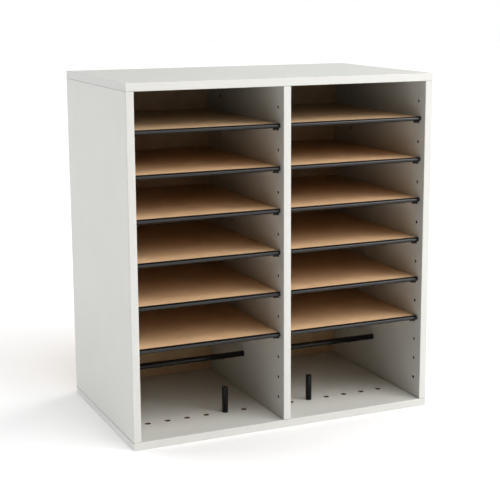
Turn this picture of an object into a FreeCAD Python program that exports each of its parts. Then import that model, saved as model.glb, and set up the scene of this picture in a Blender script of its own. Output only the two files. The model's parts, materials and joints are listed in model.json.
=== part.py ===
import FreeCAD, Part
import os

# Two bay literature organizer with an open front, in millimetres.
# The origin is the middle of the underside, on the surface that the cabinet stands on.
# +X is to the right seen from the open front, the front faces -Y, and +Z is up.

V = FreeCAD.Vector
EAST = V(1, 0, 0)
NORTH = V(0, 1, 0)
UP = V(0, 0, 1)

# Carcass boards
BAY_WIDTH = 230.0            # clear width of each of the two bays
CLEAR_HEIGHT = 512.0         # inside a bay, floor to ceiling
BOARD_DEPTH = 300.0          # front to back, without the back panel
CAP_THICKNESS = 12.0         # top and bottom boards
UPRIGHT_THICKNESS = 12.0     # side boards and divider
EDGE_ROUND = 0.8             # softened edge of a laminated board
BACK_THICKNESS = 3.0
BACK_INSET = 3.0             # margin of bare board round the back panel

# Shelf pins and their holes
ROW_PITCH = 32.0             # height from one row of pin holes to the next
TOP_ROW_MARGIN = 12.0        # board left above the top row, at the least
PIN_COLUMN = 20.0            # front column of holes, behind the front edge
COLUMN_SPACING = 224.0       # front column to back column
PIN_RADIUS = 2.5
PIN_LENGTH = 8.0             # how far a pin stands out of the board
PIN_FLANGE_RADIUS = 3.2
PIN_FLANGE = 0.8             # thickness of the flange against the board
PIN_WAIST_RADIUS = 1.9
PIN_WAIST_START = 3.2        # board face to the waist
PIN_WAIST = 0.9              # length of the waist
PIN_CHAMFER = 0.4
PIN_CLEARANCE = 0.05         # all round, in its hole
PIN_HOLE_WEB = 4.0           # board left behind a blind pin hole
PIN_END_GAP = 1.0            # between two pins that share a hole of the divider

# Shelves
FREE_ROW_COUNT = 3           # free rows of holes under the lowest shelf
ROWS_PER_SHELF = 2           # rows from one shelf to the next
SHELF_THICKNESS = 5.0
SHELF_SIDE_GAP = 1.0
SHELF_BACK_GAP = 1.5
SHELF_REST_GAP = 0.05        # running clearance between a shelf and its pins
MOULDING_WALL = 0.8
MOULDING_DEPTH = 7.5         # front to back
MOULDING_NOSE = 2.1          # solid stretch in front of the shelf board
MOULDING_TO_PIN = 0.5        # gap between the lower lip and the pin behind it

# Cross rods
ROD_RADIUS = 4.75
ROD_SETBACK = 156.5          # behind the front edge
ROD_HEIGHT = 65.0            # centre line above the floor
ROD_CLEARANCE = 0.05
ROD_SEAT_WEB = 4.0           # board left behind a blind seat
ROD_END_PLAY = 0.5
ROD_END_GAP = 1.0            # between the two rods inside the divider

# Pegs and their holes in the floor
PEG_RADIUS = 4.75
PEG_HEIGHT = 41.0            # above the floor
PEG_CHAMFER = 0.6
PEG_CLEARANCE = 0.1
PEG_REST_GAP = 0.05
PEG_SETBACK = 74.0           # behind the front edge
PEG_HOLE_WEB = 2.0           # board left under a hole
PEG_HOLE_PITCH = 32.0
PEG_HOLE_COUNT = 6
PEG_PLACE = 2                # the hole that holds the peg, counted from the divider

# Dowels between the uprights and the top and bottom boards
DOWEL_RADIUS = 3.0
DOWEL_IN_CAP = 8.0
DOWEL_IN_UPRIGHT = 16.0
DOWEL_CLEARANCE = 0.05
DOWEL_END_GAP = 0.5          # glue space at each end
DOWEL_MARGIN = 45.0          # outer dowels, from the front and back edges
DOWELS_PER_JOINT = 3

# Nails of the back panel
NAIL_RADIUS = 0.7
NAIL_HEAD_RADIUS = 1.6
NAIL_HEAD = 0.8
NAIL_LENGTH = 15.0
NAIL_CLEARANCE = 0.02
NAIL_MARGIN = 25.0           # end nails, from the ends of the back panel
NAIL_PITCH = 95.0            # about this far apart

# Sizes that follow from the ones above
WIDTH = 2 * BAY_WIDTH + 3 * UPRIGHT_THICKNESS
HEIGHT = CLEAR_HEIGHT + 2 * CAP_THICKNESS
DEPTH = BOARD_DEPTH + BACK_THICKNESS
FRONT = -DEPTH / 2
BACK = FRONT + BOARD_DEPTH
FLOOR = CAP_THICKNESS
CEILING = FLOOR + CLEAR_HEIGHT
UPRIGHT_SPACING = BAY_WIDTH + UPRIGHT_THICKNESS
BAY_CENTRE = UPRIGHT_SPACING / 2
COLUMNS = (FRONT + PIN_COLUMN, FRONT + PIN_COLUMN + COLUMN_SPACING)
ROD_Y = FRONT + ROD_SETBACK
ROD_Z = FLOOR + ROD_HEIGHT
PEG_Y = FRONT + PEG_SETBACK
PIN_SHANK = (UPRIGHT_THICKNESS - PIN_END_GAP) / 2
BAYS = {"left": -BAY_CENTRE, "right": BAY_CENTRE}
ROW_COUNT = int((CLEAR_HEIGHT - TOP_ROW_MARGIN) / ROW_PITCH)
SHELF_ROWS = range(FREE_ROW_COUNT + 1, ROW_COUNT + 1, ROWS_PER_SHELF)


def rounded_box(x0, x1, y0, y1, z0, z1):
    """A board with softened edges."""
    box = Part.makeBox(x1 - x0, y1 - y0, z1 - z0, V(x0, y0, z0))
    return box.makeFillet(EDGE_ROUND, box.Edges)


def steps(first, last, count):
    """Evenly spaced places from first to last."""
    if count == 1:
        return [(first + last) / 2]
    return [first + (last - first) * i / (count - 1) for i in range(count)]


def row_height(row):
    """Height of a row of pin holes, counted from the floor."""
    return FLOOR + ROW_PITCH * row


def pin_holes(x, direction, depth):
    """The two columns of pin holes that go into a face at x."""
    holes = []
    for row in range(1, ROW_COUNT + 1):
        for y in COLUMNS:
            start = V(x, y, row_height(row))
            holes.append(Part.makeCylinder(PIN_RADIUS + PIN_CLEARANCE, depth, start, EAST * direction))
    return holes


def rod_seat(x, direction, depth):
    """The hole that holds a rod's end, going into a face at x."""
    start = V(x, ROD_Y, ROD_Z)
    return Part.makeCylinder(ROD_RADIUS + ROD_CLEARANCE, depth, start, EAST * direction)


def dowel_places(x):
    """Front to back places of the dowels in the upright whose centre line is at x."""
    return [V(x, y, 0) for y in steps(FRONT + DOWEL_MARGIN, BACK - DOWEL_MARGIN, DOWELS_PER_JOINT)]


def upright_centres():
    return (-UPRIGHT_SPACING, 0.0, UPRIGHT_SPACING)


def dowel_holes(x, joint_height, towards_middle):
    """Holes for one upright's dowels, through the joint plane at the given height."""
    radius = DOWEL_RADIUS + DOWEL_CLEARANCE
    holes = []
    for place in dowel_places(x):
        low = DOWEL_IN_CAP if towards_middle > 0 else DOWEL_IN_UPRIGHT
        high = DOWEL_IN_UPRIGHT if towards_middle > 0 else DOWEL_IN_CAP
        start = V(place.x, place.y, joint_height - low - DOWEL_END_GAP)
        holes.append(Part.makeCylinder(radius, low + high + 2 * DOWEL_END_GAP, start, UP))
    return holes


def dowels(joint_height, towards_middle):
    """All the dowels of one joint plane."""
    pieces = []
    for x in upright_centres():
        for place in dowel_places(x):
            low = DOWEL_IN_CAP if towards_middle > 0 else DOWEL_IN_UPRIGHT
            start = V(place.x, place.y, joint_height - low)
            pieces.append(Part.makeCylinder(DOWEL_RADIUS, DOWEL_IN_CAP + DOWEL_IN_UPRIGHT, start, UP))
    return Part.makeCompound(pieces)


def nail_places():
    """Where the back panel is nailed, along the middle of each board behind it."""
    places = []
    low = FLOOR + NAIL_MARGIN
    high = CEILING - NAIL_MARGIN
    count = 1 + round((high - low) / NAIL_PITCH)
    for x in upright_centres():
        places += [V(x, BACK, z) for z in steps(low, high, count)]
    reach = UPRIGHT_SPACING - NAIL_MARGIN
    count = 1 + round(2 * reach / NAIL_PITCH)
    for z in (CAP_THICKNESS / 2, HEIGHT - CAP_THICKNESS / 2):
        places += [V(x, BACK, z) for x in steps(-reach, reach, count)]
    return places


def nail(place, clearance):
    """One nail with its head flush with the back panel's face, or the hole for it."""
    radius = NAIL_RADIUS + clearance
    face = place + NORTH * BACK_THICKNESS
    shank = Part.makeCylinder(radius, NAIL_LENGTH + clearance, face, -NORTH)
    head = Part.makeCylinder(NAIL_HEAD_RADIUS + clearance, NAIL_HEAD + clearance, face, -NORTH)
    return shank.fuse(head).removeSplitter()


def nail_holes():
    return [nail(place, NAIL_CLEARANCE) for place in nail_places()]


def nails():
    return Part.makeCompound([nail(place, 0.0) for place in nail_places()])


def side_board(side):
    """Left or right side board, with blind pin holes and a rod seat in its inner face."""
    sign = -1 if side == "left" else 1
    inner = sign * (UPRIGHT_SPACING - UPRIGHT_THICKNESS / 2)
    outer = sign * (UPRIGHT_SPACING + UPRIGHT_THICKNESS / 2)
    board = rounded_box(min(inner, outer), max(inner, outer), FRONT, BACK, FLOOR, CEILING)
    tools = pin_holes(inner, sign, UPRIGHT_THICKNESS - PIN_HOLE_WEB)
    tools.append(rod_seat(inner, sign, UPRIGHT_THICKNESS - ROD_SEAT_WEB))
    tools += dowel_holes(sign * UPRIGHT_SPACING, FLOOR, 1)
    tools += dowel_holes(sign * UPRIGHT_SPACING, CEILING, -1)
    return board.cut(tools + nail_holes())


def centre_divider():
    """The divider between the bays, with pin holes and the rods' seat drilled right through."""
    half = UPRIGHT_THICKNESS / 2
    board = rounded_box(-half, half, FRONT, BACK, FLOOR, CEILING)
    tools = pin_holes(-half, 1, UPRIGHT_THICKNESS)
    tools.append(rod_seat(-half, 1, UPRIGHT_THICKNESS))
    tools += dowel_holes(0.0, FLOOR, 1)
    tools += dowel_holes(0.0, CEILING, -1)
    return board.cut(tools + nail_holes())


def peg_hole_offsets():
    """Places of the six peg holes across a bay, from its centre."""
    reach = PEG_HOLE_PITCH * (PEG_HOLE_COUNT - 1) / 2
    return steps(-reach, reach, PEG_HOLE_COUNT)


def peg_hole_depth():
    return CAP_THICKNESS - PEG_HOLE_WEB


def bottom_board():
    """Full width bottom board with the row of peg holes in each bay."""
    board = rounded_box(-WIDTH / 2, WIDTH / 2, FRONT, BACK, 0.0, FLOOR)
    tools = []
    for centre in BAYS.values():
        for offset in peg_hole_offsets():
            start = V(centre + offset, PEG_Y, FLOOR)
            tools.append(Part.makeCylinder(PEG_RADIUS + PEG_CLEARANCE, peg_hole_depth(), start, -UP))
    for x in upright_centres():
        tools += dowel_holes(x, FLOOR, 1)
    return board.cut(tools + nail_holes())


def top_board():
    """Full width top board."""
    board = rounded_box(-WIDTH / 2, WIDTH / 2, FRONT, BACK, CEILING, HEIGHT)
    tools = []
    for x in upright_centres():
        tools += dowel_holes(x, CEILING, -1)
    return board.cut(tools + nail_holes())


def back_panel():
    """Thin panel nailed on behind the carcass."""
    width = WIDTH - 2 * BACK_INSET
    height = HEIGHT - 2 * BACK_INSET
    panel = Part.makeBox(width, BACK_THICKNESS, height, V(-width / 2, BACK, BACK_INSET))
    return panel.cut(nail_holes())


def shelf_span(centre):
    """Left end and length of a shelf in the bay with the given centre."""
    length = BAY_WIDTH - 2 * SHELF_SIDE_GAP
    return centre - length / 2, length


def moulding_front():
    """The moulding's front, placed so that its lower lip hooks in front of the pins."""
    return FRONT + PIN_COLUMN - PIN_RADIUS - MOULDING_TO_PIN - MOULDING_DEPTH


def shelf_underside(row):
    return row_height(row) + PIN_RADIUS + SHELF_REST_GAP


def shelf_board(centre, row):
    """Thin loose board that rests on four pins."""
    left, length = shelf_span(centre)
    front = moulding_front() + MOULDING_NOSE
    depth = BACK - SHELF_BACK_GAP - front
    return Part.makeBox(length, depth, SHELF_THICKNESS, V(left, front, shelf_underside(row)))


def shelf_moulding(centre, row):
    """Edging with a half round nose and two lips that grip the front of the shelf board."""
    left, length = shelf_span(centre)
    half = SHELF_THICKNESS / 2
    radius = half + MOULDING_WALL
    middle = shelf_underside(row) + half
    nose = moulding_front()
    round_end = nose + radius
    lip_end = nose + MOULDING_DEPTH
    slot = nose + MOULDING_NOSE

    def at(y, up):
        return V(left, y, middle + up)

    edges = [
        Part.makeLine(at(lip_end, radius), at(round_end, radius)),
        Part.Arc(at(round_end, radius), at(nose, 0), at(round_end, -radius)).toShape(),
        Part.makeLine(at(round_end, -radius), at(lip_end, -radius)),
        Part.makeLine(at(lip_end, -radius), at(lip_end, -half)),
        Part.makeLine(at(lip_end, -half), at(slot, -half)),
        Part.makeLine(at(slot, -half), at(slot, half)),
        Part.makeLine(at(slot, half), at(lip_end, half)),
        Part.makeLine(at(lip_end, half), at(lip_end, radius)),
    ]
    return Part.Face(Part.Wire(edges)).extrude(EAST * length)


def shelf_pin(x, y, z, direction):
    """Turned pin: shank in the board, flange against it, waist, and a plain end with a chamfer."""
    waist_end = PIN_WAIST_START + PIN_WAIST
    outline = [
        (-PIN_SHANK, 0.0), (-PIN_SHANK, PIN_RADIUS),
        (0.0, PIN_RADIUS), (0.0, PIN_FLANGE_RADIUS),
        (PIN_FLANGE, PIN_FLANGE_RADIUS), (PIN_FLANGE, PIN_RADIUS),
        (PIN_WAIST_START, PIN_RADIUS), (PIN_WAIST_START, PIN_WAIST_RADIUS),
        (waist_end, PIN_WAIST_RADIUS), (waist_end, PIN_RADIUS),
        (PIN_LENGTH - PIN_CHAMFER, PIN_RADIUS), (PIN_LENGTH, PIN_RADIUS - PIN_CHAMFER),
        (PIN_LENGTH, 0.0), (-PIN_SHANK, 0.0),
    ]
    wire = Part.makePolygon([V(x + direction * out, y, z + radius) for out, radius in outline])
    return Part.Face(wire).revolve(V(x, y, z), EAST, 360)


def shelf_pins(centre, row):
    """The four pins under one shelf."""
    pins = []
    for direction in (1, -1):
        for y in COLUMNS:
            pins.append(shelf_pin(centre - direction * BAY_WIDTH / 2, y, row_height(row), direction))
    return Part.makeCompound(pins)


def cross_rod(side):
    """Round rod from its blind seat in the side board to the middle of the divider."""
    sign = -1 if side == "left" else 1
    inner_end = sign * ROD_END_GAP / 2
    face = sign * (UPRIGHT_SPACING - UPRIGHT_THICKNESS / 2)
    outer_end = face + sign * (UPRIGHT_THICKNESS - ROD_SEAT_WEB - ROD_END_PLAY)
    start = V(min(inner_end, outer_end), ROD_Y, ROD_Z)
    return Part.makeCylinder(ROD_RADIUS, abs(outer_end - inner_end), start, EAST)


def peg(side):
    """Loose round peg that stands in one of the floor's holes."""
    sign = -1 if side == "left" else 1
    from_divider = peg_hole_offsets()[PEG_PLACE - 1]
    x = sign * (BAY_CENTRE + from_divider)
    low = FLOOR - peg_hole_depth() + PEG_REST_GAP
    high = FLOOR + PEG_HEIGHT
    outline = [
        V(x, PEG_Y, low), V(x + PEG_RADIUS - PEG_CHAMFER, PEG_Y, low),
        V(x + PEG_RADIUS, PEG_Y, low + PEG_CHAMFER), V(x + PEG_RADIUS, PEG_Y, high - PEG_CHAMFER),
        V(x + PEG_RADIUS - PEG_CHAMFER, PEG_Y, high), V(x, PEG_Y, high), V(x, PEG_Y, low),
    ]
    return Part.Face(Part.makePolygon(outline)).revolve(V(x, PEG_Y, low), UP, 360)


def all_pieces():
    """Every node's name with its shape."""
    pieces = {
        "top_board": top_board(),
        "bottom_board": bottom_board(),
        "left_side_board": side_board("left"),
        "right_side_board": side_board("right"),
        "centre_divider": centre_divider(),
        "back_panel": back_panel(),
        "back_panel_nails": nails(),
        "bottom_dowels": dowels(FLOOR, 1),
        "top_dowels": dowels(CEILING, -1),
    }
    for side, centre in BAYS.items():
        pieces[side + "_cross_rod"] = cross_rod(side)
        pieces[side + "_peg"] = peg(side)
        for number, row in enumerate(SHELF_ROWS, 1):
            name = "%s_shelf_%d_" % (side, number)
            pieces[name + "board"] = shelf_board(centre, row)
            pieces[name + "moulding"] = shelf_moulding(centre, row)
            pieces[name + "pins"] = shelf_pins(centre, row)
    return pieces


os.makedirs("parts", exist_ok=True)
for node, shape in all_pieces().items():
    shape.exportStep(os.path.join("parts", node + ".step"))
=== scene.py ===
"""Looks of a two bay literature organizer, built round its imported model.

Run as a script. The boards, the back panel and the joinery keep their modelled shapes and get finishes.
The shelves, their edging, the pins, the cross rods and the pegs are made here as smooth surfaces.
Lengths are metres, as in the frame, except where a name or a comment says millimetres.
"""
import json
import math

import bpy
import numpy as np
from bpy.props import FloatProperty, FloatVectorProperty, IntProperty, PointerProperty, StringProperty
from mathutils import Euler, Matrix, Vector

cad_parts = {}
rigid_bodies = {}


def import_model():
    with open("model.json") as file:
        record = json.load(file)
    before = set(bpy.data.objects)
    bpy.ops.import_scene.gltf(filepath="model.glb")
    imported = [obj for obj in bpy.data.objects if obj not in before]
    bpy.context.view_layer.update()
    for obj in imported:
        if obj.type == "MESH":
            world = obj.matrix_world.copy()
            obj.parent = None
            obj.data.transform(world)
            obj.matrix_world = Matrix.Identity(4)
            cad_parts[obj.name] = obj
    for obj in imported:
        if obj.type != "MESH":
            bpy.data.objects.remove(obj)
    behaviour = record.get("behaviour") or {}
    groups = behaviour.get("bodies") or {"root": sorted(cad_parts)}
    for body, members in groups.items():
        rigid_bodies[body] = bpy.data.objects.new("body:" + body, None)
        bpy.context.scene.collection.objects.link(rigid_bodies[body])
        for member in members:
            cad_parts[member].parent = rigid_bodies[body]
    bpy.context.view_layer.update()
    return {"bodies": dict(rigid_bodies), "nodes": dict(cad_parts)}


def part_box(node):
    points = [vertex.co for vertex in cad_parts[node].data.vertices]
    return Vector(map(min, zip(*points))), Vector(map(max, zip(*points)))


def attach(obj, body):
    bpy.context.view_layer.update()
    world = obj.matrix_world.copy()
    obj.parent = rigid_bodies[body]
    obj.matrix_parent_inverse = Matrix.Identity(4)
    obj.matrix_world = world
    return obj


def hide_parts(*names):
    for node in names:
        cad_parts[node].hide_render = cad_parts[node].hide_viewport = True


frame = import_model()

bl_info = {
    "name": "Literature Organizer Looks",
    "version": (1, 0, 0),
    "blender": (4, 5, 0),
    "location": "3D View > Sidebar > Organizer",
    "description": "Finishes, shelves, pins and studio of a two bay literature organizer",
    "category": "Object",
}

MM = 0.001
CAPS = ("top_board", "bottom_board")
UPRIGHTS = ("left_side_board", "right_side_board", "centre_divider")
SHELVES = sorted(name for name in frame["bodies"] if "_shelf_" in name)
SIDES = ("left", "right")
BOARD_ROUND = 0.8 * MM  # softened edges of the modelled boards
X, Z = 0, 2  # numbers of the coordinates along a lying rod and along a standing peg

# Real sizes of the patterns in millimetres. The pearl grain, the drawn lines and the nylon's grain are finer
# in life, and are as coarse here as they need to be to show.
PAPER_CLOUD = 70
PEARL_GRAIN = 0.9
RUBBED_SPOT = 5
WOOD_CHIP = 2.4
FELTED_FIBRE = 1.6
FELT_CLOUD = 28
BARK_SPACING = 9
DRAWN_LINE, DRAWN_LENGTH = 0.45, 45
NYLON_GRAIN = 0.35
LACQUER_PORE, PORE_LENGTH = 0.6, 18
HAMMER_MARK = 0.8
BEECH_RAY, RAY_LENGTH = 0.7, 9
PAPER_TOOTH = 3
# Where the darkest, the middle and the lightest fibres of hardboard lie between the noise's 0 and 1.
FIBRE_TONES = (0.3, 0.5, 0.68)

# Points of the curves: the quarter circle on a shelf's edge, the edging's nose and the floor's rim.
EDGE_POINTS = 5
NOSE_POINTS = 25
RIM_POINTS = 96

# Far soft lights: name, azimuth from the front to the right, elevation, and the angle that the light fills.
SOFT_LIGHTS = (
    ("front", 5, 35, 26),
    ("high_front", 0, 62, 34),
    ("high_left", -30, 60, 24),
    ("low_front", 0, 4, 22),
    ("near_right", 30, 28, 30),
    ("far_right", 50, 28, 30),
    ("right", 110, 30, 40),
    ("right_back", 135, 20, 50),
    ("behind", 180, 42, 50),
    ("left_back", -135, 20, 50),
    ("left", -90, 50, 50),
)
# Near soft boxes: name, azimuth, elevation, metres from the middle of the cabinet, and width in metres.
SOFT_BOXES = (
    ("small_box", 50, 28, 1.3, 0.7),
    ("front_box", 40, 35, 2.4, 1.2),
    ("right_box", 60, 35, 2.4, 1.2),
)
LIT_MIDDLE = Vector((0, 0, 0.27))  # the point that every light faces
FAR_LIGHT = 3.0  # where a far light's object hangs, which changes nothing in its light


# Colours and numbers

def linear(code):
    """An sRGB hex code as linear RGBA: a channel c becomes c / 12.92 where it is at most 0.04045, and
    otherwise ((c + 0.055) / 1.055) to the power 2.4."""
    c = np.array([int(code[i:i + 2], 16) for i in (1, 3, 5)]) / 255
    rgb = np.where(c <= 0.04045, c / 12.92, ((c + 0.055) / 1.055) ** 2.4)
    return (*rgb.tolist(), 1.0)


def per_metre(mm):
    """Scale of a texture whose features are about this many millimetres across."""
    return 1 / (mm * MM)


# Nodes

def add(tree, kind, settings=None, inputs=None, stops=()):
    """One node with its settings and its inputs, each of which is a value or another node's output. A colour
    ramp also has its stops, as (place, hex code) in rising order, of which a new one already holds two."""
    made = tree.nodes.new(kind)
    for name, value in (settings or {}).items():
        setattr(made, name, value)
    for name, value in (inputs or {}).items():
        if isinstance(value, bpy.types.NodeSocket):
            tree.links.new(value, made.inputs[name])
        else:
            made.inputs[name].default_value = value
    for index, (place, code) in enumerate(stops):
        elements = made.color_ramp.elements
        element = elements[index] if index < len(elements) else elements.new(place)
        element.position = place
        element.color = linear(code)
    return made


def start_material(name):
    """An empty node material, its tree and its object coordinates, which are the frame's metres."""
    material = bpy.data.materials.new(name)
    material.use_nodes = True
    tree = material.node_tree
    tree.nodes.clear()
    return material, tree, add(tree, "ShaderNodeTexCoord").outputs["Object"]


def finish_material(tree, inputs):
    """The principled shader with its inputs, and the output."""
    shader = add(tree, "ShaderNodeBsdfPrincipled", inputs=inputs)
    add(tree, "ShaderNodeOutputMaterial", inputs={"Surface": shader.outputs[0]})


# Materials

def melamine_board(name, look, banded_ends):
    """Melamine faced particle board: printed paper pressed hot on a steel plate, so the eye gets an even
    satin white with a faint pearl grain. The front edge wears a thin glued band, a little brighter, with a
    hairline where it meets the paper. Cut through along its back edge, it shows brown chips, and in its
    holes chips darkened as painted shade for the little light inside them. Where an upright meets another
    board, the joint is a thin dark line, partly the joint and partly painted shadow of the gap. The bottom
    board's end band is painted lighter, painted light that makes up for the shade near the floor."""
    low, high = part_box(name)
    material, tree, place = start_material("melamine_faced_particle_board_" + name)

    # Depth under each pair of faces. Where a cut is bare the board counts as a metre longer: at the back
    # edge, and at both ends of an upright.
    bare = Vector((0, 1, 0)) if banded_ends else Vector((0, 1, 1))
    near, far = low - Vector((0, 0, bare.z)), high + bare
    centre = (near + far) / 2
    half = far - centre
    offset = add(tree, "ShaderNodeVectorMath", {"operation": "SUBTRACT"}, {0: place, 1: centre}).outputs[0]
    size = add(tree, "ShaderNodeVectorMath", {"operation": "ABSOLUTE"}, {0: offset}).outputs[0]
    depth = add(tree, "ShaderNodeVectorMath", {"operation": "SUBTRACT"}, {0: half, 1: size}).outputs[0]
    x, y, z = add(tree, "ShaderNodeSeparateXYZ", inputs={0: depth}).outputs
    least_xy = add(tree, "ShaderNodeMath", {"operation": "MINIMUM"}, {0: x, 1: y}).outputs[0]
    least = add(tree, "ShaderNodeMath", {"operation": "MINIMUM"}, {0: least_xy, 1: z}).outputs[0]
    blur = 0.1 * look.paper
    core = add(tree, "ShaderNodeMapRange", inputs={
        "Value": least, "From Min": look.paper - blur, "From Max": look.paper + blur}).outputs[0]

    # Nearness to an edge: there two of the three depths are small, so the middle one is.
    most_xy = add(tree, "ShaderNodeMath", {"operation": "MAXIMUM"}, {0: x, 1: y}).outputs[0]
    inner = add(tree, "ShaderNodeMath", {"operation": "MINIMUM"}, {0: most_xy, 1: z}).outputs[0]
    middle = add(tree, "ShaderNodeMath", {"operation": "MAXIMUM"}, {0: least_xy, 1: inner}).outputs[0]
    edge_near = add(tree, "ShaderNodeMapRange", inputs={
        "Value": middle, "From Min": 0.5 * MM, "From Max": look.wear_width,
        "To Min": 1.0, "To Max": 0.0}).outputs[0]
    rubs = add(tree, "ShaderNodeTexNoise", inputs={
        "Vector": place, "Scale": per_metre(RUBBED_SPOT), "Detail": 4.0, "Roughness": 0.7}).outputs[0]
    rubbed = add(tree, "ShaderNodeMapRange", inputs={
        "Value": rubs, "From Min": 0.52, "From Max": 0.72, "To Max": look.wear}).outputs[0]
    worn = add(tree, "ShaderNodeMath", {"operation": "MULTIPLY"}, {0: edge_near, 1: rubbed}).outputs[0]

    # Paper: two near whites in wide clouds, and a pearl grain that only the gloss shows.
    cloud = add(tree, "ShaderNodeTexNoise", inputs={
        "Vector": place, "Scale": per_metre(PAPER_CLOUD), "Detail": 2.0}).outputs[0]
    white = add(tree, "ShaderNodeValToRGB", inputs={"Fac": cloud}, stops=(
        (0.35, look.paper_shade), (0.65, look.paper_light))).outputs[0]
    grain = add(tree, "ShaderNodeTexNoise", inputs={
        "Vector": place, "Scale": per_metre(PEARL_GRAIN), "Detail": 3.0}).outputs[0]

    # Band on the front edge, with its hairline joint. The top and bottom boards' ends have a duller one, and
    # the bottom board's is painted lighter, painted light that makes up for the shade near the floor.
    band = add(tree, "ShaderNodeMath", {"operation": "LESS_THAN"}, {0: y, 1: look.band}).outputs[0]
    faced = add(tree, "ShaderNodeMix", {"data_type": "RGBA"}, {
        "Factor": band, 6: white, 7: linear(look.band_colour)}).outputs[2]
    joint = add(tree, "ShaderNodeMath", {"operation": "COMPARE"}, {
        0: y, 1: look.band, 2: look.joint_line / 2}).outputs[0]
    faded = add(tree, "ShaderNodeMath", {"operation": "MULTIPLY"}, {
        0: joint, 1: look.joint_strength}).outputs[0]
    faced = add(tree, "ShaderNodeMix", {"data_type": "RGBA"}, {
        "Factor": faded, 6: faced, 7: linear(look.joint_colour)}).outputs[2]
    if banded_ends:
        end = add(tree, "ShaderNodeMath", {"operation": "LESS_THAN"}, {0: x, 1: look.band}).outputs[0]
        # The bottom board's end band is lighter than the top's: painted light for the shade near the floor.
        end_band_and_painted_light = look.lit_foot_end if name == "bottom_board" else look.head_end
        faced = add(tree, "ShaderNodeMix", {"data_type": "RGBA"}, {
            "Factor": end, 6: faced, 7: linear(end_band_and_painted_light)}).outputs[2]
    faced = add(tree, "ShaderNodeMix", {"data_type": "RGBA"}, {
        "Factor": worn, 6: faced, 7: linear(look.worn_colour)}).outputs[2]

    # Joints, a little uneven: a dark line, partly the joint and partly painted shadow of the gap, at an
    # upright's cut ends and at the bottom board's corners on which the sides stand. It is wider at the
    # uprights' feet, where the painted shadow is deeper.
    y_place, z_place = add(tree, "ShaderNodeSeparateXYZ", inputs={0: place}).outputs[1:]
    if name != "top_board":
        uneven = add(tree, "ShaderNodeMapRange", inputs={
            "Value": rubs, "From Min": 0.3, "From Max": 0.7, "To Min": 0.7, "To Max": 1.3}).outputs[0]
        if name in UPRIGHTS:
            width = add(tree, "ShaderNodeMapRange", inputs={
                "Value": z_place, "From Min": low.z, "From Max": high.z,
                "To Min": look.foot_seam_shade, "To Max": look.head_seam_shade}).outputs[0]
            height = add(tree, "ShaderNodeSeparateXYZ", inputs={0: size}).outputs[2]
            reach = add(tree, "ShaderNodeMath", {"operation": "MULTIPLY_ADD"}, {
                0: width, 1: uneven, 2: height}).outputs[0]
            seam_shade = add(tree, "ShaderNodeMath", {"operation": "GREATER_THAN"}, {
                0: reach, 1: (high.z - low.z) / 2}).outputs[0]
        else:
            reach = add(tree, "ShaderNodeMath", {"operation": "MULTIPLY_ADD"}, {
                0: uneven, 1: look.corner_seam_shade, 2: z_place}).outputs[0]
            raised = add(tree, "ShaderNodeMath", {"operation": "GREATER_THAN"}, {
                0: reach, 1: high.z}).outputs[0]
            corner = add(tree, "ShaderNodeMath", {"operation": "LESS_THAN"}, {
                0: x, 1: BOARD_ROUND}).outputs[0]
            seam_shade = add(tree, "ShaderNodeMath", {"operation": "MULTIPLY"}, {0: raised, 1: corner}).outputs[0]
        faced = add(tree, "ShaderNodeMix", {"data_type": "RGBA"}, {
            "Factor": seam_shade, 6: faced, 7: linear(look.seam_shade_colour)}).outputs[2]

    # Core: chips that lie flat in the board, so they are thin across its thickness.
    thinness = 3.5
    flat = (1.0, 1.0, thinness) if name in CAPS else (thinness, 1.0, 1.0)
    laid = add(tree, "ShaderNodeMapping", inputs={"Vector": place, "Scale": flat}).outputs[0]
    chips = add(tree, "ShaderNodeTexVoronoi", inputs={"Vector": laid, "Scale": per_metre(WOOD_CHIP)})
    chip = add(tree, "ShaderNodeSeparateColor", inputs={0: chips.outputs["Color"]}).outputs[0]
    sawn = add(tree, "ShaderNodeValToRGB", inputs={"Fac": chip}, stops=(
        (0.0, look.core_dark), (0.35, look.core), (0.8, look.core), (1.0, look.core_light))).outputs[0]
    # The chips in the holes are darkened as painted shade, for the little light that reaches into them:
    # nearly black in the fine pin holes, brown in the wide peg holes. Only the last millimetre at the back is
    # sawn.
    shaded_hole, shaded_hole_dark = look.pin_hole_shade, look.pin_hole_shade_dark
    if banded_ends:
        shaded_hole, shaded_hole_dark = look.peg_hole_shade, look.peg_hole_shade_dark
    hole_shade_ramp = add(tree, "ShaderNodeValToRGB", inputs={"Fac": chip}, stops=(
        (0.0, shaded_hole_dark), (1.0, shaded_hole))).outputs[0]
    drilled = add(tree, "ShaderNodeMath", {"operation": "LESS_THAN"}, {0: y_place, 1: high.y - MM}).outputs[0]
    wood = add(tree, "ShaderNodeMix", {"data_type": "RGBA"}, {
        "Factor": drilled, 6: sawn, 7: hole_shade_ramp}).outputs[2]
    colour = add(tree, "ShaderNodeMix", {"data_type": "RGBA"}, {"Factor": core, 6: faced, 7: wood}).outputs[2]

    rough = add(tree, "ShaderNodeMapRange", inputs={
        "Value": core, "To Min": look.satin, "To Max": look.sawn_rough}).outputs[0]
    relief = add(tree, "ShaderNodeMix", {"data_type": "FLOAT"}, {
        "Factor": core, 2: grain, 3: chips.outputs["Distance"]}).outputs[0]
    depth_of_relief = add(tree, "ShaderNodeMapRange", inputs={
        "Value": core, "To Min": look.grain_relief, "To Max": look.chip_relief}).outputs[0]
    bump = add(tree, "ShaderNodeBump", inputs={
        "Strength": 1.0, "Distance": depth_of_relief, "Height": relief}).outputs[0]
    finish_material(tree, {"Base Color": colour, "Roughness": rough, "IOR": 1.5, "Normal": bump})
    return material


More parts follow.
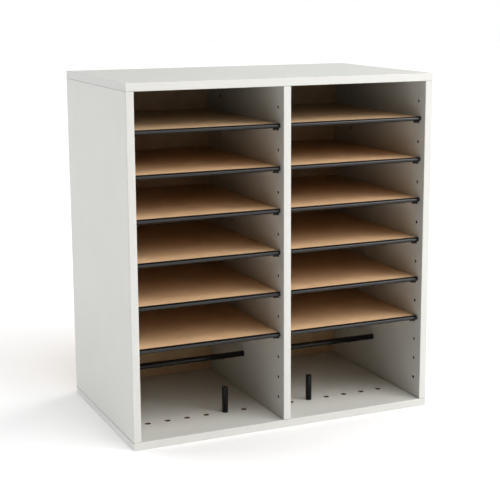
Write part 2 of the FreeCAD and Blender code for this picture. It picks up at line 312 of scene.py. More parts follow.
def hardboard(name, browns, look):
    """Hardboard: wood fibres steamed apart and pressed to a hard smooth sheet, so the eye gets an even brown
    that is felted at a millimetre, with a few dark bark specks and a dull sheen. The browns are those of
    the darkest, the middle and the lightest fibres."""
    material, tree, place = start_material(name)
    felt = add(tree, "ShaderNodeTexNoise", inputs={
        "Vector": place, "Scale": per_metre(FELTED_FIBRE), "Detail": 5.0, "Roughness": 0.65,
        "Distortion": 1.2}).outputs[0]
    cloud = add(tree, "ShaderNodeTexNoise", inputs={
        "Vector": place, "Scale": per_metre(FELT_CLOUD), "Detail": 3.0}).outputs[0]
    tone = add(tree, "ShaderNodeMix", {"data_type": "FLOAT"}, {"Factor": 0.35, 2: felt, 3: cloud}).outputs[0]
    brown = add(tree, "ShaderNodeValToRGB", inputs={"Fac": tone}, stops=zip(FIBRE_TONES, browns)).outputs[0]
    # A speck is full to 0.03 of the specks' spacing, which is 0.3 mm, and gone at twice that.
    speck = add(tree, "ShaderNodeTexVoronoi", inputs={
        "Vector": place, "Scale": per_metre(BARK_SPACING)}).outputs["Distance"]
    bark = add(tree, "ShaderNodeMapRange", inputs={
        "Value": speck, "From Min": 0.03, "From Max": 0.07, "To Min": 0.55, "To Max": 0.0}).outputs[0]
    colour = add(tree, "ShaderNodeMix", {"data_type": "RGBA"}, {
        "Factor": bark, 6: brown, 7: linear(look.bark)}).outputs[2]
    rough = add(tree, "ShaderNodeMapRange", inputs={
        "Value": felt, "To Min": 0.46, "To Max": 0.62}).outputs[0]
    bump = add(tree, "ShaderNodeBump", inputs={
        "Strength": 1.0, "Distance": 0.02 * MM, "Height": felt}).outputs[0]
    finish_material(tree, {"Base Color": colour, "Roughness": rough, "IOR": 1.5, "Normal": bump})
    return material


def extruded_vinyl(name, look):
    """Black vinyl edging, drawn hot through a die along its length: a satin black with faint lengthwise lines
    that break its highlight. Hands polish the nose, and the lips, which face up and down, are matt."""
    material, tree, place = start_material(name)
    drawn = add(tree, "ShaderNodeMapping", inputs={"Vector": place, "Scale": (
        per_metre(DRAWN_LENGTH), per_metre(DRAWN_LINE), per_metre(DRAWN_LINE))}).outputs[0]
    lines = add(tree, "ShaderNodeTexNoise", inputs={"Vector": drawn, "Scale": 1.0, "Detail": 2.0}).outputs[0]
    colour = add(tree, "ShaderNodeValToRGB", inputs={"Fac": lines}, stops=(
        (0.3, look.vinyl), (0.7, look.vinyl_light))).outputs[0]
    rough = add(tree, "ShaderNodeMapRange", inputs={
        "Value": lines, "To Min": look.vinyl_rough - 0.06, "To Max": look.vinyl_rough + 0.06}).outputs[0]
    bump = add(tree, "ShaderNodeBump", inputs={
        "Strength": 1.0, "Distance": 0.015 * MM, "Height": lines}).outputs[0]
    faces = add(tree, "ShaderNodeTexCoord").outputs["Normal"]
    upward = add(tree, "ShaderNodeSeparateXYZ", inputs={0: faces}).outputs[2]
    tilt = add(tree, "ShaderNodeMath", {"operation": "ABSOLUTE"}, {0: upward}).outputs[0]
    gloss = add(tree, "ShaderNodeMapRange", inputs={
        "Value": tilt, "From Min": 0.2, "From Max": 0.75, "To Min": look.vinyl_gloss,
        "To Max": look.lip_gloss}).outputs[0]
    finish_material(tree, {
        "Base Color": colour, "Roughness": rough, "IOR": 1.53, "Specular IOR Level": gloss, "Normal": bump})
    return material


def moulded_nylon(name, look):
    """Black nylon, injected into an eroded mould: a dull black with a fine even grain."""
    material, tree, place = start_material(name)
    grain = add(tree, "ShaderNodeTexNoise", inputs={
        "Vector": place, "Scale": per_metre(NYLON_GRAIN), "Detail": 2.0}).outputs[0]
    colour = add(tree, "ShaderNodeValToRGB", inputs={"Fac": grain}, stops=(
        (0.3, look.nylon), (0.75, look.nylon_light))).outputs[0]
    rough = add(tree, "ShaderNodeMapRange", inputs={
        "Value": grain, "To Min": 0.36, "To Max": 0.5}).outputs[0]
    bump = add(tree, "ShaderNodeBump", inputs={
        "Strength": 1.0, "Distance": 0.02 * MM, "Height": grain}).outputs[0]
    finish_material(tree, {"Base Color": colour, "Roughness": rough, "IOR": 1.53, "Normal": bump})
    return material


def painted_dowel(name, along, gloss, look):
    """Hardwood dowel dipped in black lacquer: a satin black in which the grain shows as fine pores. They run
    along the dowel, whose axis is given by the number of its coordinate."""
    material, tree, place = start_material(name)
    stretch = [per_metre(LACQUER_PORE)] * 3
    stretch[along] = per_metre(PORE_LENGTH)
    drawn = add(tree, "ShaderNodeMapping", inputs={"Vector": place, "Scale": stretch}).outputs[0]
    pores = add(tree, "ShaderNodeTexNoise", inputs={
        "Vector": drawn, "Scale": 1.0, "Detail": 3.0, "Roughness": 0.6}).outputs[0]
    colour = add(tree, "ShaderNodeValToRGB", inputs={"Fac": pores}, stops=(
        (0.35, look.lacquer), (0.7, look.lacquer_light))).outputs[0]
    rough = add(tree, "ShaderNodeMapRange", inputs={
        "Value": pores, "To Min": look.lacquer_rough - 0.05, "To Max": look.lacquer_rough + 0.08}).outputs[0]
    bump = add(tree, "ShaderNodeBump", inputs={
        "Strength": 1.0, "Distance": 0.03 * MM, "Height": pores}).outputs[0]
    finish_material(tree, {
        "Base Color": colour, "Roughness": rough, "IOR": 1.5, "Specular IOR Level": gloss, "Normal": bump})
    return material


def wire_nail_steel(name):
    """Bright drawn steel wire with a struck head: grey metal, dulled unevenly by the hammer."""
    material, tree, place = start_material(name)
    marks = add(tree, "ShaderNodeTexNoise", inputs={
        "Vector": place, "Scale": per_metre(HAMMER_MARK), "Detail": 4.0}).outputs[0]
    colour = add(tree, "ShaderNodeValToRGB", inputs={"Fac": marks}, stops=(
        (0.3, "#8C8C8A"), (0.7, "#B4B4B1"))).outputs[0]
    rough = add(tree, "ShaderNodeMapRange", inputs={
        "Value": marks, "To Min": 0.28, "To Max": 0.55}).outputs[0]
    bump = add(tree, "ShaderNodeBump", inputs={
        "Strength": 1.0, "Distance": 0.03 * MM, "Height": marks}).outputs[0]
    finish_material(tree, {"Base Color": colour, "Metallic": 1.0, "Roughness": rough, "Normal": bump})
    return material


def turned_beech(name):
    """Fluted beech dowel, raw and upright: pale brown with fine darker rays along its length."""
    material, tree, place = start_material(name)
    drawn = add(tree, "ShaderNodeMapping", inputs={"Vector": place, "Scale": (
        per_metre(BEECH_RAY), per_metre(BEECH_RAY), per_metre(RAY_LENGTH))}).outputs[0]
    rays = add(tree, "ShaderNodeTexNoise", inputs={"Vector": drawn, "Scale": 1.0, "Detail": 3.0}).outputs[0]
    colour = add(tree, "ShaderNodeValToRGB", inputs={"Fac": rays}, stops=(
        (0.3, "#B98E5F"), (0.7, "#D3AD7E"))).outputs[0]
    bump = add(tree, "ShaderNodeBump", inputs={
        "Strength": 1.0, "Distance": 0.05 * MM, "Height": rays}).outputs[0]
    finish_material(tree, {"Base Color": colour, "Roughness": 0.7, "Normal": bump})
    return material


def studio_paper(name, look):
    """Seamless white background paper: matt and even, with a trace of tooth."""
    material, tree, place = start_material(name)
    tooth = add(tree, "ShaderNodeTexNoise", inputs={
        "Vector": place, "Scale": per_metre(PAPER_TOOTH), "Detail": 2.0}).outputs[0]
    bump = add(tree, "ShaderNodeBump", inputs={
        "Strength": 1.0, "Distance": 0.01 * MM, "Height": tooth}).outputs[0]
    finish_material(tree, {"Base Color": linear(look.floor), "Roughness": 0.9, "Normal": bump})
    return material


# Surfaces

def put_mesh(name, points, faces, sharp_angle):
    """A mesh object at the origin from points and faces, smooth except over edges sharper than the angle."""
    mesh = bpy.data.meshes.new(name)
    mesh.from_pydata(points.reshape(-1, 3).tolist(), [], faces)
    mesh.validate()
    mesh.shade_smooth()
    mesh.set_sharp_from_angle(angle=math.radians(sharp_angle))
    piece = bpy.data.objects.new(name, mesh)
    bpy.context.scene.collection.objects.link(piece)
    return piece


def around(count, rings):
    """Quads between neighbouring rings of points, each ring closed on itself: point j of ring i joins point
    j + 1, and both join the same points of ring i + 1."""
    i, j = np.meshgrid(np.arange(rings - 1), np.arange(count), indexing="ij")
    k = (j + 1) % count
    near, far = i * count, (i + 1) * count
    return np.stack([near + j, near + k, far + k, far + j], -1).reshape(-1, 4)


def turned(profile, start, axis, count):
    """Points and faces of a turned piece. The profile is rows of (distance along the axis, radius), and each
    row becomes a ring: start + axis * distance + radius * (u cos a + v sin a), with a going once round.
    A point on the axis closes each end."""
    axis = np.array(axis, float)
    u = np.roll(np.abs(axis), 1)
    v = np.cross(axis, u)
    profile = np.array(profile, float)
    a = np.linspace(0, 2 * np.pi, count, endpoint=False)
    round_axis = np.cos(a)[:, None] * u + np.sin(a)[:, None] * v
    rings = start + profile[:, :1, None] * axis + profile[:, 1:, None] * round_axis
    first = start + profile[0, 0] * axis
    last = start + profile[-1, 0] * axis
    points = np.vstack([rings.reshape(-1, 3), first, last])
    skin = around(count, len(profile))
    j = np.arange(count)
    k = (j + 1) % count
    last_ring = (len(profile) - 1) * count
    foot = np.stack([k, j, np.full(count, len(points) - 2)], -1)
    tip = np.stack([last_ring + j, last_ring + k, np.full(count, len(points) - 1)], -1)
    return points, skin.tolist() + foot.tolist() + tip.tolist()


def joined(parts):
    """Several (points, faces) pairs as one."""
    points, faces, shift = [], [], 0
    for some_points, some_faces in parts:
        points.append(some_points)
        faces += [[index + shift for index in face] for face in some_faces]
        shift += len(some_points)
    return np.vstack(points), faces


def carried(section, x0, x1):
    """Points and faces of a bar: a closed section, rows of (y, z), carried along X from x0 to x1. One flat
    face closes each end."""
    count = len(section)
    points = np.empty((2, count, 3))
    points[..., 0] = ((x0,), (x1,))
    points[..., 1:] = section
    near_end = list(range(count))
    far_end = list(range(2 * count - 1, count - 1, -1))
    faces = around(count, 2)[:, ::-1].tolist() + [near_end, far_end]
    return points.reshape(-1, 3), faces


def arc(centre, radius, start, end, count):
    """Points on an arc in (y, z): centre + radius * (cos a, sin a), with a from start to end in degrees."""
    a = np.radians(np.linspace(start, end, count))
    return np.stack([centre[0] + radius * np.cos(a), centre[1] + radius * np.sin(a)], -1)


def soften(piece, width):
    """Rounds the piece's sharp edges a little, so that they catch the light."""
    bevel = piece.modifiers.new("softened_edges", "BEVEL")
    bevel.width = width
    bevel.segments = 2
    bevel.limit_method = "ANGLE"
    bevel.angle_limit = math.radians(40)
    bevel.harden_normals = True


def quarter(count=6):
    """Sine and cosine of angles from 0 to a right angle, for quarter circles."""
    a = np.linspace(0, np.pi / 2, count)
    return np.sin(a), np.cos(a)


def shelf_section(low, high, r):
    """Rows of (y, z) round a shelf board. A quarter circle of radius r rounds each long edge: its points lie
    r (1 - cos a) inside the board's end and r (1 - sin a) inside its face."""
    s, c = quarter(EDGE_POINTS)
    inset, fall = r * (1 - c), r * (1 - s)
    y = np.concatenate([low.y + inset, high.y - inset[::-1]])
    fall = np.concatenate([fall, fall[::-1]])
    top = np.stack([y, high.z - fall], -1)
    under = np.stack([y, low.z + fall], -1)
    return np.vstack([top, under[::-1]])


def edging_section(low, high, look):
    """Rows of (y, z) round the edging: the lower lip's tip, half way round the nose on the circle centre +
    radius (cos a, sin a), the upper lip's tip, and the slot that takes the board."""
    middle = (low.z + high.z) / 2
    radius = (high.z - low.z) / 2
    nose = arc((low.y + radius, middle), radius, 270, 90, NOSE_POINTS)
    thinned = look.wall - look.lip
    half = radius - look.wall
    slot = low.y + look.nose
    return np.vstack([
        (high.y, low.z + thinned), nose, (high.y, high.z - thinned), (high.y, middle + half),
        (slot, middle + half), (slot, middle - half), (high.y, middle - half)])


def pin_length(node, bay):
    """How far the pins of a node stand out from the two faces of their bay: from the left face to the
    innermost point of the node's left half."""
    mesh = frame["nodes"][node].data
    co = np.empty(len(mesh.vertices) * 3, np.float32)
    mesh.vertices.foreach_get("co", co)
    x = co[0::3]
    return float(x[x < sum(bay) / 2].max()) - bay[0]


def pin_profile(look, shank, length):
    """Rows of (distance from the board's face, radius): a tapered shank, a flange, a waist, and an end that
    is rounded by the quarter circle (length - tip + tip sin a, radius - tip + tip cos a)."""
    r, wide, narrow = look.pin_radius, look.flange_radius, look.waist_radius
    flange, start = look.flange, look.waist_start
    end = start + look.waist
    soft, tip = look.pin_softness, look.pin_tip
    taper = 0.3 * r
    s, c = quarter()
    body = np.array((
        (-shank, r - taper), (taper - shank, r), (0, r),
        (0, wide - soft), (soft, wide), (flange - soft, wide), (flange, wide - soft), (flange, r),
        (start - soft, r), (start, r - soft), (start + soft, narrow),
        (end - soft, narrow), (end, r - soft), (end + soft, r)))
    return np.vstack([body, np.stack([length - tip + tip * s, r - tip + tip * c], -1)])


def round_ended(length, radius, soft):
    """Rows of (distance, radius) of a plain round bar. Each end is rounded by a quarter circle: distance
    soft (1 - cos a) and radius - soft (1 - sin a) from the near end, and the same from the far end."""
    s, c = quarter()
    near = np.stack([soft * (1 - c), radius - soft * (1 - s)], -1)
    return np.vstack([near, (length, 0) + near[::-1] * (-1, 1)])


# Settings

class ORGANIZER_PG_carcass(bpy.types.PropertyGroup):
    """Boards and back panel."""
    paper_light: StringProperty(name="Paper", description="Lighter tone of the paper", default="#C5C6C1")
    paper_shade: StringProperty(name="Paper Shade", description="Its darker tone", default="#C3C4BF")
    band_colour: StringProperty(name="Edge Band", description="Band on the front edges", default="#CCCBC6")
    head_end: StringProperty(name="Head End", description="Band on the top board's ends", default="#BFC0BD")
    # Lighter than the top board's end band: painted light that makes up for the shade near the floor.
    lit_foot_end: StringProperty(
        name="Foot End", description="Band on the bottom board's ends", default="#CACBC9")
    joint_colour: StringProperty(name="Band Joint", description="Hairline beside the band", default="#8E8B82")
    joint_strength: FloatProperty(
        name="Joint Strength", description="How much of the hairline shows", default=0.6, min=0, max=1,
        subtype="FACTOR")
    core: StringProperty(name="Core", description="Particle board chips", default="#8A6540")
    core_dark: StringProperty(name="Core Dark", description="Darkest chips", default="#5A3D25")
    core_light: StringProperty(name="Core Light", description="Lightest chips", default="#B08A5E")
    # Chips in the holes, darkened as painted shade for the little light inside them.
    peg_hole_shade: StringProperty(name="Peg Hole", description="Lightest chips in peg holes", default="#8A6848")
    peg_hole_shade_dark: StringProperty(name="Peg Hole Dark", description="The darkest of them", default="#24190F")
    pin_hole_shade: StringProperty(name="Pin Hole", description="Chips in the pin holes", default="#33261B")
    pin_hole_shade_dark: StringProperty(name="Pin Hole Dark", description="The darkest of them", default="#1E1610")
    # Widths of the dark joint lines, which are partly painted shadow of the gaps between the boards.
    head_seam_shade: FloatProperty(
        name="Head Seam", description="Dark line where the uprights meet the top board",
        default=0.2 * MM, unit="LENGTH")
    foot_seam_shade: FloatProperty(
        name="Foot Seam", description="Dark line where the uprights stand on the bottom board",
        default=0.5 * MM, unit="LENGTH")
    corner_seam_shade: FloatProperty(
        name="Corner Seam", description="Depth of the dark line on the bottom board's corners",
        default=0.45 * MM, unit="LENGTH")
    # Colour of the joint lines, partly painted shadow of the gaps.
    seam_shade_colour: StringProperty(name="Seam Colour", description="Line where boards meet", default="#3A3631")
    paper: FloatProperty(
        name="Paper Thickness", description="Depth at which a cut shows the core",
        default=0.35 * MM, unit="LENGTH")
    band: FloatProperty(
        name="Band Thickness", description="Depth of the edge band", default=0.5 * MM, unit="LENGTH")
    joint_line: FloatProperty(
        name="Joint Line", description="Width of the hairline beside the band",
        default=0.12 * MM, unit="LENGTH")
    wear_width: FloatProperty(
        name="Wear Width", description="How far wear reaches from an edge", default=1.6 * MM, unit="LENGTH")
    wear: FloatProperty(
        name="Wear", description="Strength of the rubbed spots along edges", default=0.5, min=0, max=1,
        subtype="FACTOR")
    worn_colour: StringProperty(name="Worn Paper", description="Rubbed edges", default="#A59F90")
    grain_relief: FloatProperty(
        name="Pearl Grain", description="Height of the paper's pearl grain",
        default=0.012 * MM, unit="LENGTH")
    chip_relief: FloatProperty(
        name="Chip Relief", description="Height of the chips in a cut", default=0.25 * MM, unit="LENGTH")
    satin: FloatProperty(
        name="Satin", description="Roughness of the melamine", default=0.42, min=0, max=1, subtype="FACTOR")
    sawn_rough: FloatProperty(
        name="Sawn Roughness", description="Roughness of a cut", default=0.9, min=0, max=1, subtype="FACTOR")
    back_dark: StringProperty(name="Back Dark", description="Darkest fibres of the back", default="#AB8D69")
    back_middle: StringProperty(name="Back", description="Brown of the back panel", default="#C5A67F")
    back_light: StringProperty(name="Back Light", description="Its lightest fibres", default="#D4B690")
    bark: StringProperty(name="Bark", description="Specks in the hardboard", default="#5A3C25")


class ORGANIZER_PG_shelves(bpy.types.PropertyGroup):
    """Shelves, their edging and their pins."""
    dark: StringProperty(name="Dark Fibres", description="Darkest fibres of the shelves", default="#BB9C79")
    middle: StringProperty(name="Shelf", description="Brown of the shelves", default="#CCAB85")
    light: StringProperty(name="Light Fibres", description="Their lightest fibres", default="#D7B48C")
    bark: StringProperty(name="Bark", description="Specks in the hardboard", default="#6E4C30")
    edge_round: FloatProperty(
        name="Edge Round", description="Worn corner of a shelf board", default=0.4 * MM, unit="LENGTH")
    end_softness: FloatProperty(
        name="End Softness", description="Softened corners of a shelf board's ends",
        default=0.1 * MM, unit="LENGTH")
    lip: FloatProperty(
        name="Lip", description="Thickness of the edging's lips at their tips",
        default=0.55 * MM, unit="LENGTH")
    wall: FloatProperty(
        name="Wall", description="Thickness of the edging over the board", default=0.8 * MM, unit="LENGTH")
    nose: FloatProperty(
        name="Nose", description="Solid front of the edging, before the board",
        default=2.1 * MM, unit="LENGTH")
    lip_softness: FloatProperty(
        name="Lip Softness", description="Softened corners of the edging", default=0.15 * MM, unit="LENGTH")
    vinyl: StringProperty(name="Vinyl", description="Edging", default="#0B0B0C")
    vinyl_light: StringProperty(name="Vinyl Lines", description="The edging's drawn lines", default="#121214")
    vinyl_rough: FloatProperty(
        name="Vinyl Roughness", description="Roughness of the edging", default=0.2, min=0, max=1,
        subtype="FACTOR")
    vinyl_gloss: FloatProperty(
        name="Vinyl Gloss", description="Gloss of the edging's nose, 0.5 for a polished skin", default=0.48,
        min=0, max=1, subtype="FACTOR")
    lip_gloss: FloatProperty(
        name="Lip Gloss", description="Gloss of the edging's lips", default=0.05, min=0, max=1,
        subtype="FACTOR")
    nylon: StringProperty(name="Nylon", description="Pins", default="#09090A")
    nylon_light: StringProperty(name="Nylon Grain", description="Grain of the pins", default="#101011")
    pin_radius: FloatProperty(
        name="Pin Radius", description="Pin and shank", default=2.5 * MM, unit="LENGTH")
    pin_tip: FloatProperty(
        name="Pin Tip", description="Round of the pin's end", default=0.5 * MM, unit="LENGTH")
    pin_softness: FloatProperty(
        name="Pin Softness", description="Softened corners of flange and waist",
        default=0.12 * MM, unit="LENGTH")
    flange_radius: FloatProperty(
        name="Flange Radius", description="Pin's flange", default=3.2 * MM, unit="LENGTH")
    flange: FloatProperty(
        name="Flange", description="Thickness of the flange", default=0.8 * MM, unit="LENGTH")
    waist_radius: FloatProperty(
        name="Waist Radius", description="Pin's waist", default=1.9 * MM, unit="LENGTH")
    waist_start: FloatProperty(
        name="Waist Start", description="From the upright to the waist", default=3.2 * MM, unit="LENGTH")
    waist: FloatProperty(name="Waist", description="Length of the waist", default=0.9 * MM, unit="LENGTH")
    pin_sides: IntProperty(name="Pin Sides", description="Points round a pin", default=28, min=8)


class ORGANIZER_PG_rods(bpy.types.PropertyGroup):
    """Cross rods and pegs."""
    lacquer: StringProperty(name="Lacquer", description="Black lacquer", default="#050505")
    lacquer_light: StringProperty(name="Lacquer Pores", description="Tone along the pores", default="#0B0B0C")
    lacquer_rough: FloatProperty(
        name="Lacquer Roughness", description="Roughness of rods and pegs", default=0.14, min=0, max=1,
        subtype="FACTOR")
    rod_gloss: FloatProperty(
        name="Rod Gloss", description="Gloss of the rods, 0.5 for a polished coat", default=0.32,
        min=0, max=1, subtype="FACTOR")
    peg_gloss: FloatProperty(
        name="Peg Gloss", description="Gloss of the pegs, which hands have dulled", default=0.18,
        min=0, max=1, subtype="FACTOR")
    end_round: FloatProperty(
        name="End Round", description="Round of the rods' and pegs' ends", default=0.7 * MM, unit="LENGTH")
    sides: IntProperty(name="Sides", description="Points round a rod", default=64, min=8)


class ORGANIZER_PG_studio(bpy.types.PropertyGroup):
    """Floor, lights and camera. A soft light's strength is in watts per square metre, a box's in watts."""
    floor: StringProperty(name="Floor", description="Background paper", default="#F4F4F4")
    floor_radius: FloatProperty(
        name="Floor Radius", description="Half size of the floor", default=14.0, unit="LENGTH")
    front: FloatProperty(name="Front", description="Light from in front", default=0.326, min=0)
    high_front: FloatProperty(name="High Front", description="Light from high in front", default=1.1, min=0)
    high_left: FloatProperty(
        name="High Left", description="Light from high front left", default=0.081, min=0)
    low_front: FloatProperty(name="Low Front", description="Light from low in front", default=0.059, min=0)
    near_right: FloatProperty(name="Near Right", description="Light from front right", default=0.661, min=0)
    far_right: FloatProperty(name="Far Right", description="Light from further right", default=0.448, min=0)
    right: FloatProperty(name="Right", description="Light from the right", default=1.398, min=0)
    right_back: FloatProperty(name="Right Back", description="Light from behind right", default=0.218, min=0)
    behind: FloatProperty(name="Behind", description="Light from behind", default=0.48, min=0)
    left_back: FloatProperty(name="Left Back", description="Light from behind left", default=2.204, min=0)
    left: FloatProperty(name="Left", description="Light from high on the left", default=0.113, min=0)
    small_box: FloatProperty(name="Small Box", description="The nearest soft box", default=2.6, min=0)
    front_box: FloatProperty(name="Front Box", description="The front soft box", default=7.6, min=0)
    right_box: FloatProperty(name="Right Box", description="The right soft box", default=14.2, min=0)
    eye: FloatVectorProperty(
        name="Camera Place", description="Where the camera stands",
        default=(-0.787763, -1.812276, 0.662095), subtype="TRANSLATION")
    turn: FloatVectorProperty(
        name="Camera Turn", description="XYZ turn of the camera in degrees",
        default=(78.9413, 0.0872, -24.7416))
    lens: FloatProperty(
        name="Lens", description="Focal length in mm on a 36 mm sensor", default=90.088, min=1)
    shift: FloatVectorProperty(
        name="Shift", description="Lens shift, across and up", default=(-0.04694, -0.0312), size=2)


# Operators

def cad_nodes(names):
    """The frame's nodes of these names, which all have to be there."""
    missing = [name for name in names if name not in frame["nodes"]]
    if missing or not names:
        raise RuntimeError("the frame lacks the nodes %s" % missing)
    return [frame["nodes"][name] for name in names]


def give(piece, material):
    """Makes this the piece's only material."""
    piece.data.materials.clear()
    piece.data.materials.append(material)


class ORGANIZER_OT_boards(bpy.types.Operator):
    """Finish the top, bottom, sides and divider in melamine faced particle board"""
    bl_idname = "organizer.boards"
    bl_label = "Boards"

    def execute(self, context):
        look = context.scene.organizer_carcass
        for node in cad_nodes(CAPS + UPRIGHTS):
            give(node, melamine_board(node.name, look, banded_ends=node.name in CAPS))
        return {"FINISHED"}


class ORGANIZER_OT_back(bpy.types.Operator):
    """Finish the back panel in brown hardboard, and its nails and the dowels"""
    bl_idname = "organizer.back"
    bl_label = "Back and Joinery"

    def execute(self, context):
        look = context.scene.organizer_carcass
        browns = (look.back_dark, look.back_middle, look.back_light)
        panel, nails, *dowels = cad_nodes(("back_panel", "back_panel_nails", "bottom_dowels", "top_dowels"))
        give(panel, hardboard("pressed_hardboard_back", browns, look))
        give(nails, wire_nail_steel("drawn_steel_nails"))
        beech = turned_beech("raw_beech_dowels")
        for node in dowels:
            give(node, beech)
        return {"FINISHED"}


class ORGANIZER_OT_shelves(bpy.types.Operator):
    """Make the loose hardboard shelves, with softly worn edges"""
    bl_idname = "organizer.shelves"
    bl_label = "Shelf Boards"

    def execute(self, context):
        look = context.scene.organizer_shelves
        brown = hardboard("pressed_hardboard_shelf", (look.dark, look.middle, look.light), look)
        for body in SHELVES:
            node = body + "_board"
            cad_nodes([node])
            low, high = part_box(node)
            points, faces = carried(shelf_section(low, high, look.edge_round), low.x, high.x)
            piece = put_mesh(body + "_hardboard", points, faces, sharp_angle=50)
            soften(piece, look.end_softness)
            give(piece, brown)
            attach(piece, body)
            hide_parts(node)
        return {"FINISHED"}


class ORGANIZER_OT_edging(bpy.types.Operator):
    """Make the black edging that grips the front of each shelf"""
    bl_idname = "organizer.edging"
    bl_label = "Shelf Edging"

    def execute(self, context):
        look = context.scene.organizer_shelves
        black = extruded_vinyl("extruded_black_vinyl", look)
        for body in SHELVES:
            node = body + "_moulding"
            cad_nodes([node])
            low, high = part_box(node)
            points, faces = carried(edging_section(low, high, look), low.x, high.x)
            piece = put_mesh(body + "_edging", points, faces, sharp_angle=35)
            soften(piece, look.lip_softness)
            give(piece, black)
            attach(piece, body)
            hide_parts(node)
        return {"FINISHED"}


class ORGANIZER_OT_pins(bpy.types.Operator):
    """Make the turned black pins under each shelf"""
    bl_idname = "organizer.pins"
    bl_label = "Shelf Pins"

    def execute(self, context):
        look = context.scene.organizer_shelves
        black = moulded_nylon("moulded_black_nylon", look)
        divider_low, divider_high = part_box("centre_divider")
        left_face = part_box("left_side_board")[1].x
        right_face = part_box("right_side_board")[0].x
        for body in SHELVES:
            node = body + "_pins"
            cad_nodes([node])
            low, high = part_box(node)
            # The two upright faces of the bay, from which the pins stand out towards each other.
            bay = (left_face, divider_low.x) if body.startswith("left") else (divider_high.x, right_face)
            z = (low.z + high.z) / 2
            columns = (low.y + look.flange_radius, high.y - look.flange_radius)
            profile = pin_profile(look, bay[0] - low.x, pin_length(node, bay))
            points, faces = joined([
                turned(profile, np.array((x, y, z)), (way, 0, 0), look.pin_sides)
                for x, way in zip(bay, (1, -1)) for y in columns])
            piece = put_mesh(body + "_turned_pins", points, faces, sharp_angle=50)
            give(piece, black)
            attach(piece, "cabinet")
            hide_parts(node)
        return {"FINISHED"}


class ORGANIZER_OT_rods(bpy.types.Operator):
    """Make the black cross rods and the pegs"""
    bl_idname = "organizer.rods"
    bl_label = "Rods and Pegs"

    def execute(self, context):
        look = context.scene.organizer_rods
        lying = painted_dowel("black_lacquered_rod", X, look.rod_gloss, look)
        standing = painted_dowel("black_lacquered_peg", Z, look.peg_gloss, look)
        for side in SIDES:
            for node, body, name, along, across, lacquer in (
                    (side + "_cross_rod", "cabinet", side + "_lacquered_rod", X, Z, lying),
                    (side + "_peg", side + "_peg", side + "_lacquered_peg", Z, X, standing)):
                cad_nodes([node])
                low, high = np.array(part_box(node))
                size = high - low
                start = (low + high) / 2
                start[along] = low[along]
                profile = round_ended(size[along], size[across] / 2, look.end_round)
                points, faces = turned(profile, start, np.eye(3)[along], look.sides)
                piece = put_mesh(name, points, faces, sharp_angle=50)
                give(piece, lacquer)
                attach(piece, body)
                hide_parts(node)
        return {"FINISHED"}


def hang(name, light, azimuth, elevation, distance):
    """A lamp that faces the middle of the cabinet. The azimuth counts from the front to the right, and both
    angles are degrees."""
    a, e = math.radians(azimuth), math.radians(elevation)
    way = Vector((math.sin(a) * math.cos(e), -math.cos(a) * math.cos(e), math.sin(e)))
    lamp = bpy.data.objects.new(name, light)
    bpy.context.scene.collection.objects.link(lamp)
    lamp.location = LIT_MIDDLE + distance * way
    lamp.rotation_euler = (-way).to_track_quat("-Z", "Y").to_euler()


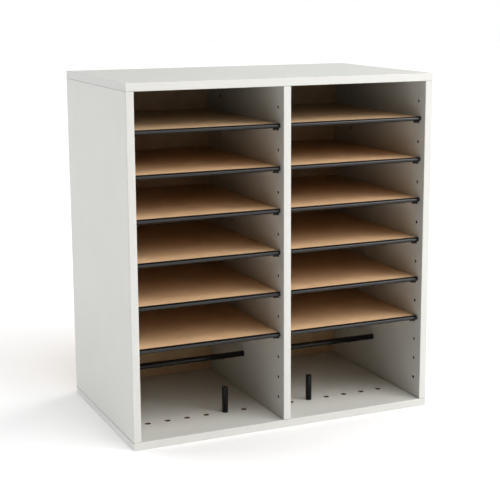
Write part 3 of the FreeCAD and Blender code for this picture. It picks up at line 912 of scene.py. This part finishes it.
class ORGANIZER_OT_studio(bpy.types.Operator):
    """Lay the pale floor, hang the lights and stand the camera"""
    bl_idname = "organizer.studio"
    bl_label = "Studio"

    def execute(self, context):
        look = context.scene.organizer_studio
        scene = context.scene
        r = look.floor_radius
        a = np.linspace(0, 2 * np.pi, RIM_POINTS, endpoint=False)
        rim = np.stack([r * np.cos(a), r * np.sin(a), 0 * a], -1)
        floor = put_mesh("studio_floor", rim, [list(range(RIM_POINTS))], sharp_angle=30)
        give(floor, studio_paper("seamless_background_paper", look))

        # The studio is dark past its lights, and only what the camera sees of it directly is white.
        world = bpy.data.worlds.new("white_backdrop")
        world.use_nodes = True
        tree = world.node_tree
        tree.nodes.clear()
        seen = add(tree, "ShaderNodeLightPath").outputs["Is Camera Ray"]
        white = add(tree, "ShaderNodeBackground", inputs={"Color": (1.0, 1.0, 1.0, 1.0), "Strength": seen})
        add(tree, "ShaderNodeOutputWorld", inputs={"Surface": white.outputs[0]})
        scene.world = world

        for name, azimuth, elevation, filled in SOFT_LIGHTS:
            light = bpy.data.lights.new(name + "_soft_light", "SUN")
            light.energy = getattr(look, name)
            light.angle = math.radians(filled)
            hang(light.name, light, azimuth, elevation, FAR_LIGHT)
        for name, azimuth, elevation, distance, width in SOFT_BOXES:
            light = bpy.data.lights.new(name, "AREA")
            light.shape = "SQUARE"
            light.size = width
            light.energy = getattr(look, name)
            hang(light.name, light, azimuth, elevation, distance)

        data = bpy.data.cameras.new("photo_camera")
        data.lens = look.lens
        data.sensor_width = 36.0
        data.shift_x, data.shift_y = look.shift
        data.clip_end = 200.0
        camera = bpy.data.objects.new("photo_camera", data)
        scene.collection.objects.link(camera)
        camera.location = look.eye
        camera.rotation_euler = Euler([math.radians(v) for v in look.turn], "XYZ")
        bpy.context.scene.camera = camera
        scene.view_settings.view_transform = "Standard"
        return {"FINISHED"}


class ORGANIZER_PT_panel(bpy.types.Panel):
    """Lists the organizer's pieces in the sidebar"""
    bl_idname = "ORGANIZER_PT_panel"
    bl_label = "Literature Organizer"
    bl_space_type = "VIEW_3D"
    bl_region_type = "UI"
    bl_category = "Organizer"

    def draw(self, context):
        for operator in OPERATORS:
            self.layout.operator(operator.bl_idname)


OPERATORS = (
    ORGANIZER_OT_studio,
    ORGANIZER_OT_boards,
    ORGANIZER_OT_back,
    ORGANIZER_OT_shelves,
    ORGANIZER_OT_edging,
    ORGANIZER_OT_pins,
    ORGANIZER_OT_rods,
)
SETTINGS = {
    "organizer_carcass": ORGANIZER_PG_carcass,
    "organizer_shelves": ORGANIZER_PG_shelves,
    "organizer_rods": ORGANIZER_PG_rods,
    "organizer_studio": ORGANIZER_PG_studio,
}


def register():
    for name, group in SETTINGS.items():
        bpy.utils.register_class(group)
        setattr(bpy.types.Scene, name, PointerProperty(type=group))
    for operator in OPERATORS:
        bpy.utils.register_class(operator)
    bpy.utils.register_class(ORGANIZER_PT_panel)


def unregister():
    bpy.utils.unregister_class(ORGANIZER_PT_panel)
    for operator in reversed(OPERATORS):
        bpy.utils.unregister_class(operator)
    for name, group in SETTINGS.items():
        delattr(bpy.types.Scene, name)
        bpy.utils.unregister_class(group)


def main():
    register()
    bpy.ops.organizer.studio()
    bpy.ops.organizer.boards()
    bpy.ops.organizer.back()
    bpy.ops.organizer.shelves()
    bpy.ops.organizer.edging()
    bpy.ops.organizer.pins()
    bpy.ops.organizer.rods()


if __name__ == "__main__":
    main()
